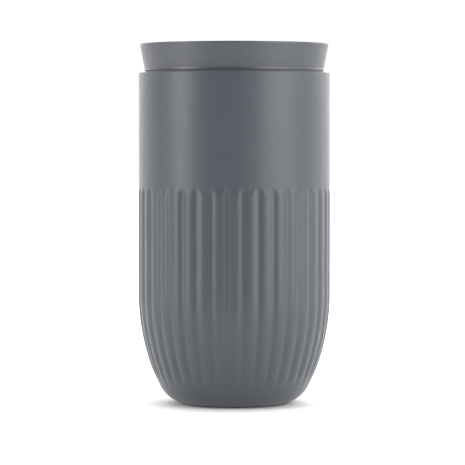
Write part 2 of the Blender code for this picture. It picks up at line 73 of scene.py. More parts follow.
def rounded(corners, steps=6):
    """Outline through (radius, height, round) corners in mm, each rounded off."""
    outline = []
    for index, (radius, height, fillet) in enumerate(corners):
        here = np.array((radius, height), float)
        if fillet == 0:
            outline.append(here)
            continue
        before = np.array(corners[index - 1][:2]) - here
        after = np.array(corners[(index + 1) % len(corners)][:2]) - here
        length_in, length_out = np.linalg.norm(before), np.linalg.norm(after)
        before, after = before / length_in, after / length_out
        half = math.acos(float(np.clip(before @ after, -1, 1))) / 2
        limit_in, limit_out = CORNER_SHARE * length_in, CORNER_SHARE * length_out
        reach = min(fillet / math.tan(half), limit_in, limit_out)
        margin = CORNER_MARGIN * reach
        start, end = here + before * reach, here + after * reach
        outline.append(start + before * margin * (reach + margin < length_in / 2))
        for share in np.linspace(0, 1, steps + 1):
            blend = (1 - share) ** 2 * start + 2 * share * (1 - share) * here
            outline.append(blend + share**2 * end)
        outline.append(end + after * margin * (reach + margin < length_out / 2))
    kept = [outline[0]]
    for point in outline[1:]:
        if np.linalg.norm(point - kept[-1]) > SAME_POINT:
            kept.append(point)
    return kept


def turned_mesh(name, outline, columns, relief=None):
    """An outline turned about the axis.  relief(turn, radius, height) moves the wall."""
    profile = np.array(outline, float)
    solid = profile[0, 0] < ON_AXIS and profile[-1, 0] < ON_AXIS
    rim = profile[1:-1] if solid else profile
    rows = len(rim)
    turn, radius = np.meshgrid(np.arange(columns) * TAU / columns, rim[:, 0])
    height = np.repeat(rim[:, 1:], columns, axis=1)
    if relief:
        radius, height = relief(turn, radius, height)
    grid = np.stack([radius * np.cos(turn), radius * np.sin(turn), height], axis=2)
    points = grid.reshape(-1, 3) * MM
    rings = rows - 1 if solid else rows
    row, column = np.meshgrid(np.arange(rings), np.arange(columns))
    row, column = row.ravel(), column.ravel()
    below, beside = (row + 1) % rows, (column + 1) % columns
    faces = np.stack(
        [
            row * columns + column, below * columns + column,
            below * columns + beside, row * columns + beside,
        ],
        axis=1,
    ).tolist()
    if solid:
        poles = np.array([(0, 0, profile[0, 1]), (0, 0, profile[-1, 1])]) * MM
        points = np.vstack([points, poles])
        first_pole, last_row = rows * columns, (rows - 1) * columns
        for index in range(columns):
            step = (index + 1) % columns
            faces.append([first_pole, index, step])
            faces.append([first_pole + 1, last_row + step, last_row + index])
    mesh = bpy.data.meshes.new(name)
    mesh.from_pydata(points.tolist(), [], faces)
    return mesh


def close_up(mesh, sharp=50.0):
    """Faces outward, smooth shading, sharp only at real edges."""
    shape = bmesh.new()
    shape.from_mesh(mesh)
    bmesh.ops.remove_doubles(shape, verts=shape.verts, dist=WELD_METRES)
    bmesh.ops.recalc_face_normals(shape, faces=shape.faces)
    shape.to_mesh(mesh)
    shape.free()
    mesh.shade_smooth()
    mesh.set_sharp_from_angle(angle=math.radians(sharp))


def place(name, mesh, material, node, body):
    """Puts a finished mesh in the scene, in place of its CAD node."""
    piece = bpy.data.objects.new(name, mesh)
    bpy.context.scene.collection.objects.link(piece)
    mesh.materials.append(material)
    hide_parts(node)
    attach(piece, body)
    return piece


def surface(name, colour, roughness, metallic=0.0):
    """A material with its shader and object coordinates, to add a finish to."""
    material = bpy.data.materials.new(name)
    material.use_nodes = True
    nodes = material.node_tree.nodes
    shader = nodes["Principled BSDF"]
    shader.inputs["Base Color"].default_value = (*colour, 1)
    shader.inputs["Roughness"].default_value = roughness
    shader.inputs["Metallic"].default_value = metallic
    coordinates = nodes.new("ShaderNodeTexCoord")
    return material, shader, coordinates.outputs["Object"]


def noise(material, where, scale, detail=3.0, stretch=(1, 1, 1)):
    """Noise at scale features a metre, drawn out along an axis by stretch."""
    nodes, links = material.node_tree.nodes, material.node_tree.links
    mapping = nodes.new("ShaderNodeMapping")
    mapping.inputs["Scale"].default_value = stretch
    texture = nodes.new("ShaderNodeTexNoise")
    texture.inputs["Scale"].default_value = scale
    texture.inputs["Detail"].default_value = detail
    links.new(where, mapping.inputs["Vector"])
    links.new(mapping.outputs["Vector"], texture.inputs["Vector"])
    return texture.outputs["Fac"]


def between(material, factor, low, high):
    """Spreads a 0 to 1 noise over a range of values."""
    node = material.node_tree.nodes.new("ShaderNodeMapRange")
    node.inputs["From Min"].default_value = NOISE_LOW
    node.inputs["From Max"].default_value = NOISE_HIGH
    node.inputs["To Min"].default_value = low
    node.inputs["To Max"].default_value = high
    material.node_tree.links.new(factor, node.inputs["Value"])
    return node.outputs["Result"]


def tint(material, factor, dark, light):
    """Colour that wanders between two close shades."""
    ramp = material.node_tree.nodes.new("ShaderNodeValToRGB")
    low, high = ramp.color_ramp.elements
    low.position, high.position = NOISE_LOW, NOISE_HIGH
    low.color, high.color = (*dark, 1), (*light, 1)
    material.node_tree.links.new(factor, ramp.inputs["Fac"])
    return ramp.outputs["Color"]


def grain(material, shader, factor, depth, strength=1.0):
    """Fine relief on the surface, depth in metres."""
    bump = material.node_tree.nodes.new("ShaderNodeBump")
    bump.inputs["Strength"].default_value = strength
    bump.inputs["Distance"].default_value = depth
    material.node_tree.links.new(factor, bump.inputs["Height"])
    material.node_tree.links.new(bump.outputs["Normal"], shader.inputs["Normal"])


def shades(colour, spread):
    """A darker and a lighter shade of one colour."""
    return [c * (1 - spread) for c in colour], [c * (1 + spread) for c in colour]


FLOW_SCALE = 60.0
GLOSS_SCALE = 320.0
GLOSS_SPREAD = 0.04
GRAIN_DEPTH = 0.00002
GRAIN_STRENGTH = 0.35


def moulded(name, colour, roughness, spread=0.04, grain_scale=2600.0):
    """Moulded plastic or silicone: faint flow marks, uneven gloss, fine grain."""
    material, shader, where = surface(name, colour, roughness)
    links = material.node_tree.links
    flow = noise(material, where, FLOW_SCALE)
    links.new(tint(material, flow, *shades(colour, spread)), shader.inputs["Base Color"])
    gloss = noise(material, where, GLOSS_SCALE)
    rough = between(material, gloss, roughness - GLOSS_SPREAD, roughness + GLOSS_SPREAD)
    links.new(rough, shader.inputs["Roughness"])
    pores = noise(material, where, grain_scale, 2.0)
    grain(material, shader, pores, GRAIN_DEPTH, GRAIN_STRENGTH)
    return material


foot_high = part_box("foot_pad")[1]
FOOT_R = foot_high.x / MM
FOOT_TOP = foot_high.z / MM
FOOT_EDGE = 0.6
FOOT_COLOUR = (0.035, 0.037, 0.04)
RING_RADII = (19.0, 14.5, 10.0)
RING_HALF = 0.6
RING_FLOOR_HALF = 0.4
RING_DEPTH = 0.25
foot_silicone = moulded("foot_silicone", FOOT_COLOUR, 0.62, grain_scale=1800.0)
foot_outline = [(0, FOOT_TOP, 0), (FOOT_R, FOOT_TOP, 0.3), (FOOT_R, 0, FOOT_EDGE)]
for ring_r in RING_RADII:
    foot_outline += [
        (ring_r + RING_HALF, 0, 0.15), (ring_r + RING_FLOOR_HALF, RING_DEPTH, 0.12),
        (ring_r - RING_FLOOR_HALF, RING_DEPTH, 0.12), (ring_r - RING_HALF, 0, 0.15),
    ]
foot_outline += [(0, 0, 0)]
foot_mesh = turned_mesh("foot_pad_disc", rounded(foot_outline), 192)
close_up(foot_mesh)
place("foot_pad_disc", foot_mesh, foot_silicone, "foot_pad", "cup")


# Base plate, plug and getter: the steel disc welded in the base, the sealed hole that
# the air was drawn out through, and the pellet that keeps the vacuum.  All lie behind
# the foot pad, so the CAD solids keep their shape and take their metals here.


BRUSH_DEPTH = 0.00001
BRUSH_STRENGTH = 0.5
BRUSH_SPREAD = 0.07
STEEL_CLOUD_SCALE = 45.0
STEEL_TINT = 0.05


def brushed(name, colour, roughness, stretch, scale=900.0):
    """Steel with fine parallel brush marks along the axis that stretch leaves long."""
    material, shader, where = surface(name, colour, roughness, 1.0)
    links = material.node_tree.links
    marks = noise(material, where, scale, 4.0, stretch)
    broad = noise(material, where, STEEL_CLOUD_SCALE)
    links.new(tint(material, broad, *shades(colour, STEEL_TINT)), shader.inputs["Base Color"])
    rough = between(material, marks, roughness - BRUSH_SPREAD, roughness + BRUSH_SPREAD)
    links.new(rough, shader.inputs["Roughness"])
    grain(material, shader, marks, BRUSH_DEPTH, BRUSH_STRENGTH)
    return material


def repaint(node, material):
    """Gives a CAD solid that stays in view a finish of its own."""
    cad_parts[node].material_slots[0].material = material


EVEN = (1, 1, 1)
ALONG_X = (1, 12, 1)
plate_steel = brushed("plate_steel", (0.6, 0.59, 0.57), 0.34, ALONG_X)
repaint("outer_base", plate_steel)
repaint("vacuum_plug", brushed("plug_steel", (0.5, 0.49, 0.47), 0.4, EVEN))
getter_metal = brushed("getter_metal", (0.22, 0.22, 0.23), 0.75, EVEN, 2500.0)
repaint("getter", getter_metal)


# Inner liner: the stainless cup that holds the drink.  It is drawn in one piece, brushed
# inside, and its mouth is rolled into a three-start thread for the lid.

liner_low, liner_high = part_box("inner_liner")
shell_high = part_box("outer_shell")[1]
RIM_Z = shell_high.z / MM
LINER_OUT_R = liner_high.x / MM
LINER_WALL = 0.5
LINER_IN_R = LINER_OUT_R - LINER_WALL
LINER_BOTTOM = liner_low.z / MM
LINER_FLOOR = LINER_BOTTOM + LINER_WALL
LINER_CORNER_R = 14.0
MOUTH_ROUND = 0.25
SWEEP_Z = 46.4  # height where the straight wall starts to sweep in
SWEEP_R = 89.9  # radius of that sweep on the outside of the cup
BODY_R = 40.5
THREAD_STARTS = 3
THREAD_LEAD = 12.0
THREAD_SPAN = math.radians(100)
THREAD_DEPTH = 1.3
THREAD_HALF = 0.8
THREAD_CREST_HALF = 0.4
THREAD_Z = -9.0  # lower edge of each ridge where it starts, from the rim
THREAD_FADE = math.radians(7)
THREAD_ROWS = 66
THREAD_ROWS_TOP = 3.1
THREAD_ROWS_LOW = 9.6
ON_WALL = 0.01


def ease(value):
    """Soft step from 0 to 1."""
    value = np.clip(value, 0.0, 1.0)
    return value * value * (3 - 2 * value)


def lower_wall(radius, sweep_r, corner_r, floor, end_r, sweep_rows, corner_rows):
    """Wall that sweeps in below SWEEP_Z and rounds towards the floor, in mm."""
    sweep_x = radius - sweep_r
    drop = SWEEP_Z - floor - corner_r
    corner_x = sweep_x + math.sqrt((sweep_r - corner_r) ** 2 - drop**2)
    join = math.atan2(drop, corner_x - sweep_x)
    end = math.acos(max(0.0, (end_r - corner_x) / corner_r))
    sweep = np.linspace(0, join, sweep_rows)
    corner = np.linspace(join, end, corner_rows)[1:]
    wall = [(sweep_x + sweep_r * math.cos(a), SWEEP_Z - sweep_r * math.sin(a)) for a in sweep]
    for a in corner:
        wall.append((corner_x + corner_r * math.cos(a), floor + corner_r * (1 - math.sin(a))))
    return wall


def ridge(turn, height, shift):
    """Share of the thread's depth at a turn and a height from the rim."""
    share = np.zeros_like(turn)
    for start in range(THREAD_STARTS):
        along = (turn - start * TAU / THREAD_STARTS) % TAU
        middle = THREAD_Z + THREAD_HALF + shift + THREAD_LEAD * along / TAU
        off = np.abs(height - middle)
        flank = ease((THREAD_HALF - off) / (THREAD_HALF - THREAD_CREST_HALF))
        ends = ease(along / THREAD_FADE) * ease((THREAD_SPAN - along) / THREAD_FADE)
        share = np.maximum(share, flank * ends)
    return share


def rows_between(radius, top, bottom, count):
    """Rows of points down a straight wall."""
    return [(radius, z) for z in np.linspace(top, bottom, count)]


mouth_z = RIM_Z - MOUTH_ROUND
thread_top_z = RIM_Z - THREAD_ROWS_TOP
thread_low_z = RIM_Z - THREAD_ROWS_LOW
liner_sweep_in = SWEEP_R - BODY_R + LINER_IN_R
liner_sweep_out = SWEEP_R - BODY_R + LINER_OUT_R
liner_inner = rows_between(LINER_IN_R, mouth_z, RIM_Z - 3.0, 4)
liner_inner += rows_between(LINER_IN_R, thread_top_z, thread_low_z, THREAD_ROWS)
liner_inner += rows_between(LINER_IN_R, RIM_Z - 10.0, SWEEP_Z + 2, 20)
liner_inner += lower_wall(LINER_IN_R, liner_sweep_in, LINER_CORNER_R, LINER_FLOOR, 0, 24, 14)
liner_inner += [(r, LINER_FLOOR) for r in (14, 9, 4, 1)]
liner_outer = rows_between(LINER_OUT_R, mouth_z, SWEEP_Z + 2, 10)
liner_outer += lower_wall(
    LINER_OUT_R, liner_sweep_out, LINER_CORNER_R + LINER_WALL, LINER_BOTTOM, 0, 16, 10
)
liner_outer += [(12, LINER_BOTTOM), (0, LINER_BOTTOM)]
liner_edge = [
    (LINER_IN_R + 0.08, RIM_Z - 0.07), (LINER_IN_R + 0.25, RIM_Z - 0.01),
    (LINER_OUT_R - 0.08, RIM_Z - 0.07),
]
liner_outline = [(0, LINER_FLOOR)] + liner_inner[::-1] + liner_edge + liner_outer


def mouth_thread(turn, radius, height):
    """Presses the thread's ridges in from the liner's inner wall."""
    inside = np.abs(radius - LINER_IN_R) < ON_WALL
    return radius - THREAD_DEPTH * ridge(turn, height - RIM_Z, 0.0) * inside, height


liner_steel = brushed("liner_steel", (0.66, 0.65, 0.63), 0.27, (1, 1, 14))
liner_mesh = turned_mesh("steel_liner", liner_outline, 360, mouth_thread)
close_up(liner_mesh)
place("steel_liner", liner_mesh, liner_steel, "inner_liner", "cup")


# Outer shell: thin steel sheet pressed into thirty-nine upright ribs that fade out under a
# smooth band and above the base, rolled in over the rim and welded to the liner there.
# It is sprayed with a satin slate-grey coat and baked.

RIB_COUNT = 39
RIB_CREST = 0.3
RIB_GROOVE = 0.3
RIB_ROUND = 1.4  # above 1 a rib is wider than its groove
RIB_TURN = math.radians(0.4)  # from the front to the nearest crest
RIB_TOP = RIM_Z - 47.0
RIB_TOP_ARCH = 1.2  # how much lower a rib's crest ends than its groove
RIB_FADE_TOP = 3.5
RIB_FADE_LOW_Z = 7.0
RIB_FADE_LOW = 9.0
CORNER_R = 13.1
SHELL_WALL = 0.6
SHELL_EDGE = 0.3
SHELL_EDGE_DROP = 0.02
FOOT_GAP = 0.25
LINER_GAP = 0.05
SHELL_COLUMNS = 16 * RIB_COUNT
COAT_COLOUR = (0.0330, 0.0386, 0.0478)
COAT_ROUGHNESS = 0.42
COAT_GLOSS_SPREAD = 0.03
COAT_TINT = 0.03
CLOUD_SCALE = 38.0
COAT_GLOSS_SCALE = 240.0
PEEL_SCALE = 1500.0
PEEL_STRENGTH = 0.3


def ribs(turn, radius, height):
    """Wide round ribs with narrow soft grooves, one crest close to the front."""
    place_on = (turn - RIB_TURN) / TAU * RIB_COUNT + RIB_COUNT / 4
    from_crest = np.abs(place_on - np.round(place_on)) * 2
    dip = (1 - np.cos(math.pi * from_crest**RIB_ROUND)) / 2
    top = RIB_TOP - RIB_TOP_ARCH * (1 - from_crest) ** 2
    fade = ease((top - height) / RIB_FADE_TOP)
    fade = fade * ease((height - RIB_FADE_LOW_Z) / RIB_FADE_LOW)
    return radius + fade * (RIB_CREST - (RIB_CREST + RIB_GROOVE) * dip), height


foot_opening_r = FOOT_R + FOOT_GAP
shell_in_r = BODY_R - SHELL_WALL
mouth_r = LINER_OUT_R + LINER_GAP
shell_outer = [(BODY_R - 0.42, RIM_Z), (BODY_R - SHELL_EDGE, RIM_Z - SHELL_EDGE_DROP)]
for angle in np.radians((20, 40, 60, 75)):
    edge_r = BODY_R - SHELL_EDGE * (1 - math.sin(angle))
    shell_outer.append((edge_r, RIM_Z - SHELL_EDGE * (1 - math.cos(angle)) - SHELL_EDGE_DROP))
shell_outer += rows_between(BODY_R, RIM_Z - 0.4, RIB_TOP + 0.5, 14)
shell_outer += rows_between(BODY_R, RIB_TOP + 0.25, RIB_TOP - RIB_FADE_TOP - 1.5, 22)
shell_outer += rows_between(BODY_R, RIB_TOP - RIB_FADE_TOP - 3, SWEEP_Z + 2, 12)
shell_outer += lower_wall(BODY_R, SWEEP_R, CORNER_R, 0, foot_opening_r, 34, 18)
shell_inner = rows_between(shell_in_r, RIM_Z - SHELL_WALL, RIB_TOP + 0.5, 4)
shell_inner += rows_between(shell_in_r, RIB_TOP, RIB_TOP - RIB_FADE_TOP - 1.5, 6)
shell_inner += lower_wall(
    shell_in_r, SWEEP_R - SHELL_WALL, CORNER_R - SHELL_WALL, SHELL_WALL, foot_opening_r, 14, 8
)
shell_mouth = [(mouth_r, RIM_Z - SHELL_WALL), (mouth_r, RIM_Z)]
shell_outline = shell_outer + shell_inner[::-1] + shell_mouth


def sprayed(name, colour, roughness):
    """Baked satin coat: even colour, faint cloudiness, fine orange-peel relief."""
    material, shader, where = surface(name, colour, roughness)
    links = material.node_tree.links
    cloud = noise(material, where, CLOUD_SCALE, 4.0)
    links.new(tint(material, cloud, *shades(colour, COAT_TINT)), shader.inputs["Base Color"])
    gloss = noise(material, where, COAT_GLOSS_SCALE, 4.0)
    low, high = roughness - COAT_GLOSS_SPREAD, roughness + COAT_GLOSS_SPREAD
    links.new(between(material, gloss, low, high), shader.inputs["Roughness"])
    peel = noise(material, where, PEEL_SCALE, 2.0)
    grain(material, shader, peel, GRAIN_DEPTH, PEEL_STRENGTH)
    return material


satin_coat = sprayed("satin_coat", COAT_COLOUR, COAT_ROUGHNESS)
shell_mesh = turned_mesh("ribbed_shell", shell_outline, SHELL_COLUMNS, ribs)
close_up(shell_mesh)
place("ribbed_shell", shell_mesh, satin_coat, "outer_shell", "cup")


# Lid gasket: a dark silicone ring that lies on the rim under the lid's shoulder, with a
# lip that wipes the liner's mouth.  It shows as the thin dark line below the lid.

lid_low, lid_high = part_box("lid_body")
NECK_R = LINER_IN_R + 1.55
SHOULDER_Z = RIM_Z + 0.75
GASKET_R = NECK_R - 0.35
GASKET_LIP_R = LINER_IN_R - 0.25
GASKET_IN_R = GASKET_LIP_R - 0.8
GASKET_TOP = SHOULDER_Z - 0.04
GASKET_FLANGE = RIM_Z + 0.03
GASKET_LOW = RIM_Z - 2.5
GASKET_COLOUR = (0.09, 0.095, 0.104)
gasket_silicone = moulded("gasket_silicone", GASKET_COLOUR, 0.6)
gasket_outline = rounded(
    [
        (GASKET_IN_R, GASKET_TOP, 0.1), (GASKET_R, GASKET_TOP, 0.2),
        (GASKET_R, GASKET_FLANGE, 0.2), (GASKET_LIP_R, GASKET_FLANGE, 0.2),
        (GASKET_LIP_R - 0.15, RIM_Z - 1.2, 0.2), (GASKET_LIP_R, RIM_Z - 1.6, 0.2),
        (GASKET_LIP_R - 0.1, GASKET_LOW, 0.2), (GASKET_IN_R, GASKET_LOW, 0.2),
    ]
)
gasket_mesh = turned_mesh("mouth_gasket", gasket_outline, 288)
close_up(gasket_mesh)
place("mouth_gasket", gasket_mesh, gasket_silicone, "lid_gasket", "gasket_carrier")


# Lid body: one moulding with the flared drinking lip, which stands in from the cup's rim,
# and the threaded skirt inside the mouth.  Its lower edge turns in as the valve seat.

LIP_TOP = lid_high.z / MM
LIP_R = NECK_R + 2.0
LIP_WALL = 1.6
NECK_TOP = RIM_Z + 1.8
FUNNEL_LOW = RIM_Z + 4.6
SKIRT_R = LINER_IN_R - THREAD_DEPTH - 0.5
SKIRT_BOTTOM = lid_low.z / MM
SKIRT_IN_R = SKIRT_R - 1.2
SKIRT_BARE = 4.9  # from the rim down to where the skirt's thread may start
LID_THREAD_ROWS = 71
LID_THREAD_SHIFT = -2.0  # the lid's ridges lie this much below the liner's
PLUG_R = LINER_IN_R - 0.85
PLUG_LOW = RIM_Z - 3.4
GASKET_SEAT_R = GASKET_IN_R - 0.1
GASKET_SEAT_LOW = RIM_Z - 2.75
LEDGE_R = SKIRT_IN_R - 1.5
LEDGE_Z = RIM_Z - 3.3
VALVE_R = LEDGE_R - 4.5
VALVE_SEAT_TOP = SKIRT_BOTTOM + 2.5
LID_COLOUR = (0.0207, 0.0252, 0.0325)
LID_GLOSS = 0.68
lid_plastic = moulded("lid_plastic", LID_COLOUR, 0.42, 0.03)
lid_shader = lid_plastic.node_tree.nodes["Principled BSDF"]
lid_shader.inputs["Specular IOR Level"].default_value = LID_GLOSS
lid_corners = [
    (LIP_R - LIP_WALL, LIP_TOP, 0.55), (LIP_R, LIP_TOP, 0.6), (NECK_R, NECK_TOP, 1.0),
    (NECK_R, SHOULDER_Z, 0.12), (GASKET_SEAT_R, SHOULDER_Z, 0.1),
    (GASKET_SEAT_R, GASKET_SEAT_LOW, 0.1), (PLUG_R, GASKET_SEAT_LOW, 0.15),
    (PLUG_R, PLUG_LOW, 0.15), (SKIRT_R, PLUG_LOW, 0.1),
]
lid_skirt = rows_between(SKIRT_R, RIM_Z - 5.0, RIM_Z - 12.0, LID_THREAD_ROWS)
lid_foot = [
    (SKIRT_R, SKIRT_BOTTOM, 0.4), (VALVE_R, SKIRT_BOTTOM, 0.5),
    (VALVE_R, VALVE_SEAT_TOP, 0.8), (LEDGE_R, VALVE_SEAT_TOP, 0.8),
    (LEDGE_R, LEDGE_Z, 0.3), (SKIRT_IN_R, LEDGE_Z, 0.3), (SKIRT_IN_R, RIM_Z + 0.9, 1.5),
    (NECK_R - LIP_WALL, FUNNEL_LOW, 3.0),
]
lid_whole = rounded(lid_corners + [(SKIRT_R, RIM_Z - SKIRT_BARE, 0)] + lid_foot)
cut_at = 0
while abs(lid_whole[cut_at][1] - RIM_Z + SKIRT_BARE) > SAME_POINT:
    cut_at += 1
lid_upper, lid_lower = lid_whole[:cut_at + 1], lid_whole[cut_at + 1:]
lid_outline = lid_upper + [np.array(point) for point in lid_skirt] + lid_lower


def lid_thread(turn, radius, height):
    """Raises the thread's ridges from the skirt's outer wall."""
    outside = np.abs(radius - SKIRT_R) < ON_WALL
    raised = THREAD_DEPTH * ridge(turn, height - RIM_Z, LID_THREAD_SHIFT)
    return radius + raised * outside, height


lid_mesh = turned_mesh("flared_lid", lid_outline, 360, lid_thread)
close_up(lid_mesh)
place("flared_lid", lid_mesh, lid_plastic, "lid_body", "lid")


# Lid insert: the white housing of the click mechanism.  Three arms rest on the lid's
# ledge, and the deep well in the middle keeps the drink away from spring and latch.

insert_low, insert_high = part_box("lid_insert")
button_low, button_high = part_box("button_cap")
BUTTON_R = button_high.x / MM
WELL_IN_R = BUTTON_R + 0.3
WELL_OUT_R = WELL_IN_R + 1.4
WELL_TOP = insert_high.z / MM
WELL_FLOOR = RIM_Z - 16.2
WELL_BOTTOM = WELL_FLOOR - 1.4
SEAL_CUP_R = 6.0
SEAL_CUP_OUT_R = SEAL_CUP_R + 1.2
SEAL_CUP_LOW = insert_low.z / MM
ROD_HOLE_R = 3.3
ARM_COUNT = 3
ARM_WIDTH = 3.0
ARM_EDGE = 0.4
ARM_LOW = LEDGE_Z + 0.1
ARM_HIGH = ARM_LOW + 4.0
WHITE = (0.72, 0.72, 0.7)
white_plastic = moulded("white_plastic", WHITE, 0.38, 0.02)
insert_outline = rounded(
    [
        (WELL_IN_R, WELL_TOP, 0.3), (WELL_OUT_R, WELL_TOP, 0.3), (WELL_OUT_R, WELL_BOTTOM, 1.2),
        (SEAL_CUP_OUT_R, WELL_BOTTOM, 0.4), (SEAL_CUP_OUT_R, SEAL_CUP_LOW, 0.3),
        (SEAL_CUP_R, SEAL_CUP_LOW, 0.3), (SEAL_CUP_R, WELL_BOTTOM, 0.2),
        (ROD_HOLE_R, WELL_BOTTOM, 0.2), (ROD_HOLE_R, WELL_FLOOR, 0.2),
        (WELL_IN_R, WELL_FLOOR, 0.6),
    ]
)


def box_between(shape, low, high, turn, soft):
    """A box with rounded edges from low to high, in mm, turned about the axis."""
    made = bmesh.ops.create_cube(shape, size=1.0)["verts"]
    for vertex in made:
        for axis in range(3):
            middle = (low[axis] + high[axis]) / 2
            vertex.co[axis] = (middle + vertex.co[axis] * (high[axis] - low[axis])) * MM
    edges = {edge for vertex in made for edge in vertex.link_edges}
    result = bmesh.ops.bevel(
        shape, geom=list(edges), offset=soft * MM, segments=3, affect="EDGES", profile=0.5
    )
    bevelled = {vertex for face in result["faces"] for vertex in face.verts}
    bevelled |= {vertex for vertex in made if vertex.is_valid}
    for vertex in bevelled:
        x, y = vertex.co.x, vertex.co.y
        vertex.co.x = x * math.cos(turn) - y * math.sin(turn)
        vertex.co.y = x * math.sin(turn) + y * math.cos(turn)


def combined(name, mesh, other, operation):
    """One mesh of a body with another joined to it or cut out of it."""
    body = bpy.data.objects.new(name + "_body", mesh)
    tool = bpy.data.objects.new(name + "_tool", other)
    for item in (body, tool):
        bpy.context.scene.collection.objects.link(item)
    step = body.modifiers.new("combine", "BOOLEAN")
    step.operation = operation
    step.use_self = operation == "DIFFERENCE"  # the two slots of a cross overlap
    step.object = tool
    bpy.context.view_layer.update()
    result = bpy.data.meshes.new_from_object(
        body.evaluated_get(bpy.context.evaluated_depsgraph_get())
    )
    result.name = name
    for item in (body, tool):
        bpy.data.objects.remove(item)
    return result


insert_mesh = turned_mesh("insert_well", insert_outline, 192)
close_up(insert_mesh)
arms = bmesh.new()
for index in range(ARM_COUNT):
    low = (WELL_OUT_R - 0.8, -ARM_WIDTH / 2, ARM_LOW)
    high = (SKIRT_IN_R - 0.05, ARM_WIDTH / 2, ARM_HIGH)
    box_between(arms, low, high, index * TAU / ARM_COUNT + TAU / 4, ARM_EDGE)
arm_mesh = bpy.data.meshes.new("insert_arms")
arms.to_mesh(arm_mesh)
arms.free()
close_up(arm_mesh)
insert_mesh = combined("click_housing", insert_mesh, arm_mesh, "UNION")
close_up(insert_mesh, 40)
place("click_housing", insert_mesh, white_plastic, "lid_insert", "lid")


# Splash disc: the grey top plate snapped over the housing.  It falls a little towards its
# edge, where the drink comes up all round it, and its ring sits over the housing's well.

splash_low, splash_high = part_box("splash_disc")
SPLASH_R = splash_high.x / MM
SPLASH_TOP = splash_high.z / MM
SPLASH_EDGE = SPLASH_TOP - 0.5
SPLASH_LOW = splash_low.z / MM
SPLASH_UNDER = SPLASH_TOP - 1.8
SPLASH_HEM = SPLASH_EDGE - 3.8
SPLASH_HEM_R = SPLASH_R - 1.4
SLEEVE_IN_R = WELL_OUT_R + 0.2
SLEEVE_OUT_R = WELL_OUT_R + 1.6
SPLASH_COLOUR = (0.1, 0.106, 0.118)
splash_plastic = moulded("splash_plastic", SPLASH_COLOUR, 0.4, 0.03)
splash_outline = rounded(
    [
        (WELL_IN_R, SPLASH_TOP, 0.35), (WELL_IN_R + 2.2, SPLASH_TOP, 0.6),
        (WELL_IN_R + 3.2, SPLASH_TOP - 0.25, 1.2), (SPLASH_R - 3.4, SPLASH_EDGE - 0.1, 2.0),
        (SPLASH_R, SPLASH_EDGE - 0.35, 1.1), (SPLASH_R, SPLASH_HEM, 0.5),
        (SPLASH_HEM_R, SPLASH_HEM, 0.5), (SPLASH_HEM_R, SPLASH_EDGE - 1.9, 0.8),
        (SLEEVE_OUT_R, SPLASH_UNDER, 0.5), (SLEEVE_OUT_R, SPLASH_LOW, 0.4),
        (SLEEVE_IN_R, SPLASH_LOW, 0.4), (SLEEVE_IN_R, SPLASH_UNDER, 0.2),
        (WELL_IN_R, SPLASH_UNDER, 0.2),
    ]
)
splash_mesh = turned_mesh("splash_plate", splash_outline, 288)
close_up(splash_mesh)
place("splash_plate", splash_mesh, splash_plastic, "splash_disc", "lid")


# Click latch: sleeve, rotor and plunger, moulded in a slick white plastic.  They sit out
# of sight in the well, and the CAD solids keep their teeth and take their finish here.

latch_plastic = moulded("latch_plastic", (0.7, 0.7, 0.67), 0.3, 0.02)
rotor_plastic = moulded("rotor_plastic", (0.55, 0.62, 0.66), 0.3, 0.02)
repaint("latch_sleeve", latch_plastic)
repaint("latch_plunger", latch_plastic)
repaint("latch_rotor", rotor_plastic)
repaint("spring_seat", brushed("washer_steel", (0.58, 0.57, 0.55), 0.3, (1, 10, 1)))


# Return spring: stainless wire wound round the push rod, standing on the well's floor.
# It shortens as the button goes down and closes the valve again.

spring_low, spring_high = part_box("return_spring")
WIRE_R = 0.45
SPRING_R = spring_high.x / MM - WIRE_R
SPRING_TURNS = 4.5
STEPS_A_TURN = 48
WIRE_SIDES = 12
spring_mesh = bpy.data.meshes.new("spring_wire")
coil = bmesh.new()
turns = np.linspace(0, SPRING_TURNS * TAU, int(SPRING_TURNS * STEPS_A_TURN) + 1)
rings = []
for turn in turns:
    share = turn / turns[-1]
    height = spring_low.z * (1 - share) + spring_high.z * share
    height = height + WIRE_R * MM * (1 - 2 * share)
    ring = []
    for side in range(WIRE_SIDES):
        around = side * TAU / WIRE_SIDES
        radius = (SPRING_R + WIRE_R * math.cos(around)) * MM
        z = height + WIRE_R * MM * math.sin(around)
        ring.append(coil.verts.new((radius * math.cos(turn), radius * math.sin(turn), z)))
    rings.append(ring)
for first, second in zip(rings, rings[1:]):
    for side in range(WIRE_SIDES):
        step = (side + 1) % WIRE_SIDES
        coil.faces.new((first[side], first[step], second[step], second[side]))
coil.faces.new(rings[0])
coil.faces.new(rings[-1])
coil.to_mesh(spring_mesh)
coil.free()
close_up(spring_mesh)
spring_steel = brushed("spring_steel", (0.62, 0.61, 0.6), 0.22, EVEN, 1600.0)
spring = place("spring_wire", spring_mesh, spring_steel, "return_spring", "lid")
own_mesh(spring)


# Button: a darker grey cap with a shallow dish for the fingertip, guided by its skirt in
# the housing's well.

